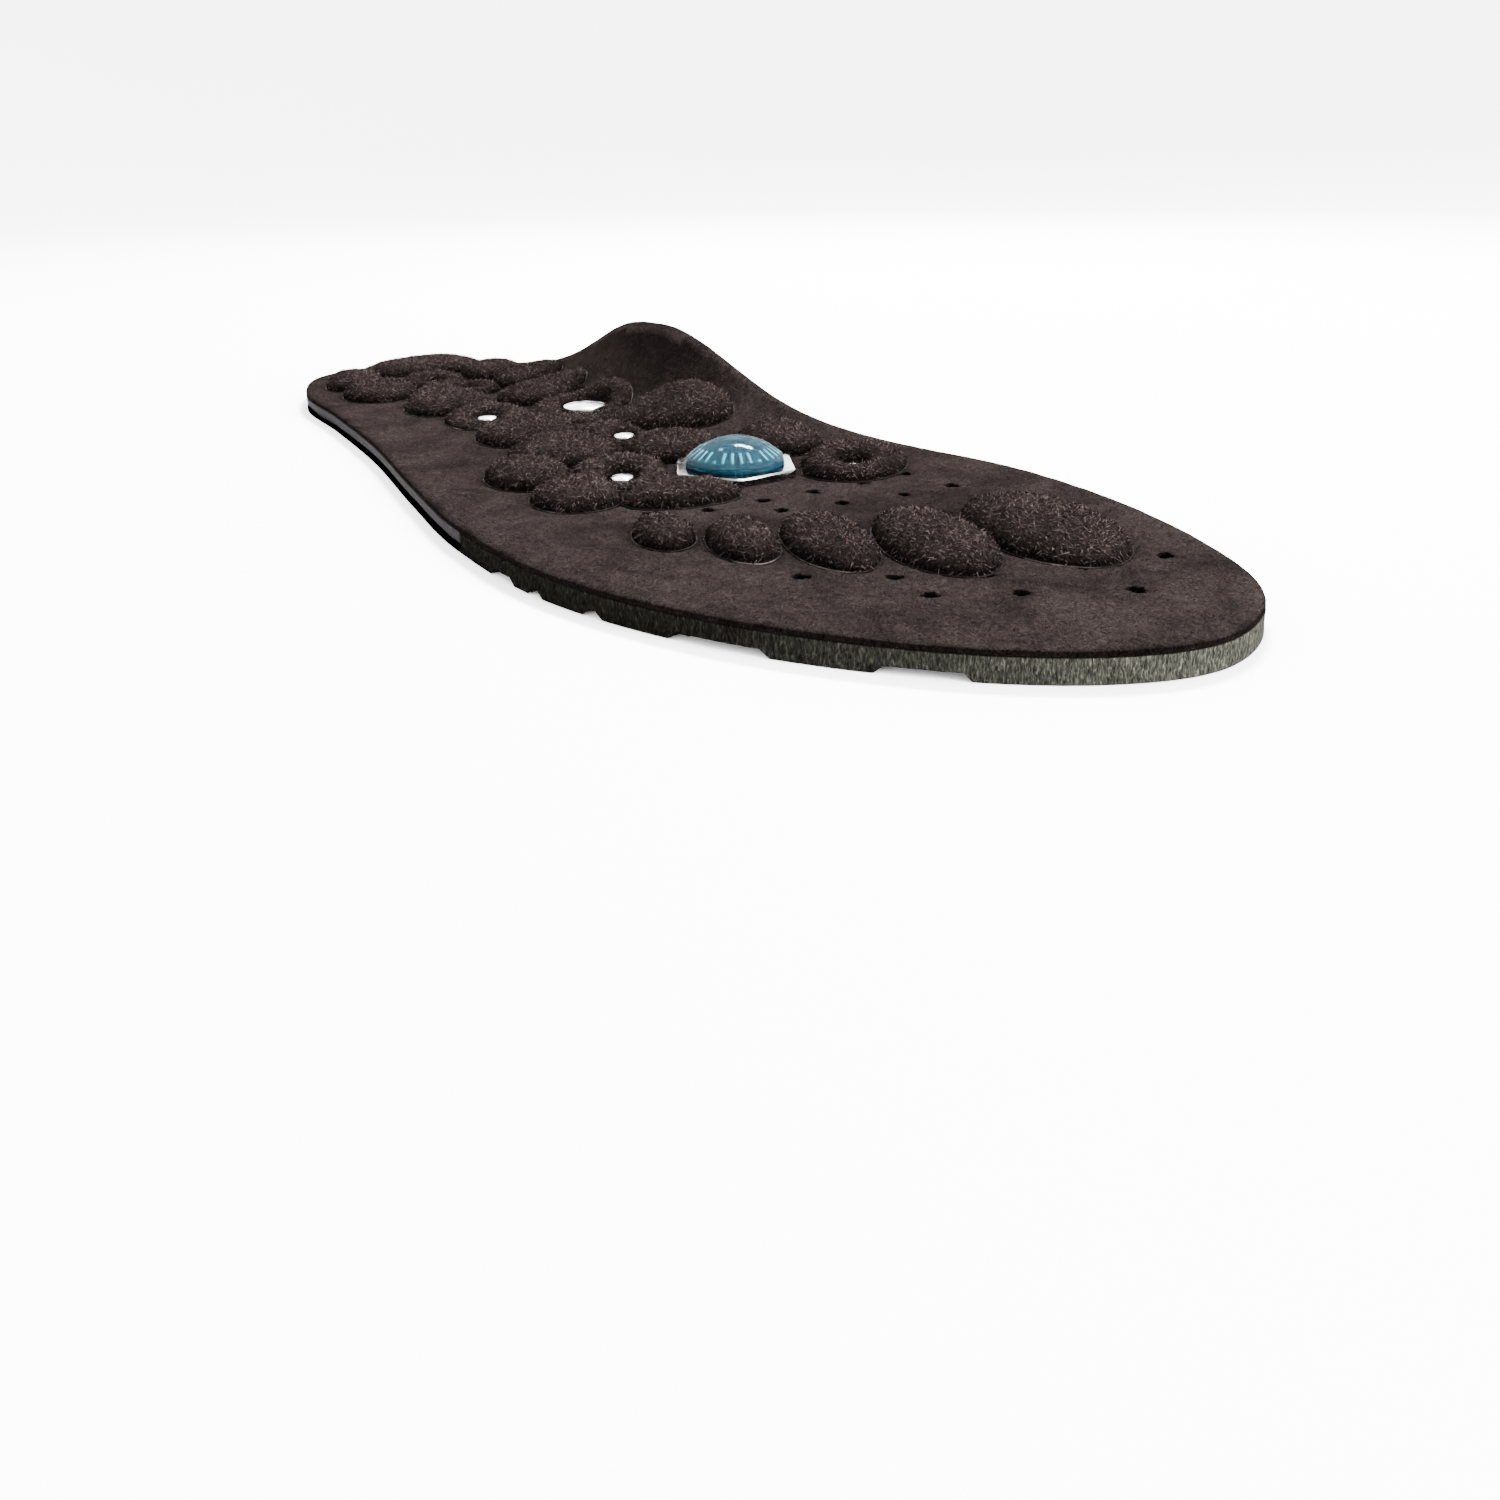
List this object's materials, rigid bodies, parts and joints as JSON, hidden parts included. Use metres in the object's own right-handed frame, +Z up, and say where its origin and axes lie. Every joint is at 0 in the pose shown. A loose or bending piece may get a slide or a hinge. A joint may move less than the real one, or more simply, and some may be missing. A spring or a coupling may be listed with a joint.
{
  "type": "cushioned insole",
  "caption": "Right-foot massage insole: foam base with raised arch, velvet cover, leaf-shaped foam pads, inset magnets and a domed button.",
  "frame": {"origin": "middle of the outline's box, on the surface the insole lies on", "axes": "+X towards the toe, +Y towards the inner (arch) side of the right foot, +Z up"},
  "size_m": [0.2586, 0.092, 0.022],
  "materials": {
    "velvet_cover": "short-pile velvet, brushed",
    "velvet_pad": "velvet over soft foam, long matted pile",
    "moulded_foam": "smooth moulded polyurethane foam skin",
    "speckled_foam": "cut foam with light flecks",
    "magnet_metal": "plated, satin",
    "button_print": "glittery dark teal print",
    "clear_resin": "clear cast resin"
  },
  "bodies": {
    "root": {"arch_front_pad": "velvet_pad", "arch_magnet": "magnet_metal", "arch_rear_pad": "velvet_pad", "arch_ring_pad": "velvet_pad", "ball_magnet": "magnet_metal", "ball_pad": "velvet_pad", "ball_ring_pad": "velvet_pad", "button_dome": "clear_resin", "button_plate": "clear_resin", "button_print": "button_print", "forefoot_foam": "speckled_foam", "heel_arch_pad": "velvet_pad", "heel_inner_pad": "velvet_pad", "heel_magnet_1": "magnet_metal", "heel_magnet_2": "magnet_metal", "heel_pad": "velvet_pad", "heel_ring_pad_1": "velvet_pad", "heel_ring_pad_2": "velvet_pad", "middle_magnet_1": "magnet_metal", "middle_magnet_2": "magnet_metal", "middle_pad": "velvet_pad", "middle_ring_pad_1": "velvet_pad", "middle_ring_pad_2": "velvet_pad", "outer_magnet": "magnet_metal", "outer_pad_1": "velvet_pad", "outer_pad_2": "velvet_pad", "outer_pad_3": "velvet_pad", "outer_pad_4": "velvet_pad", "outer_pad_5": "velvet_pad", "outer_pad_6": "velvet_pad", "outer_pad_7": "velvet_pad", "outer_pad_8": "velvet_pad", "outer_ring_pad": "velvet_pad", "rear_base": "moulded_foam", "toe_pad_1": "velvet_pad", "toe_pad_2": "velvet_pad", "toe_pad_3": "velvet_pad", "toe_pad_4": "velvet_pad", "toe_pad_5": "velvet_pad", "top_cover": "velvet_cover"}
  },
  "joints": []
}
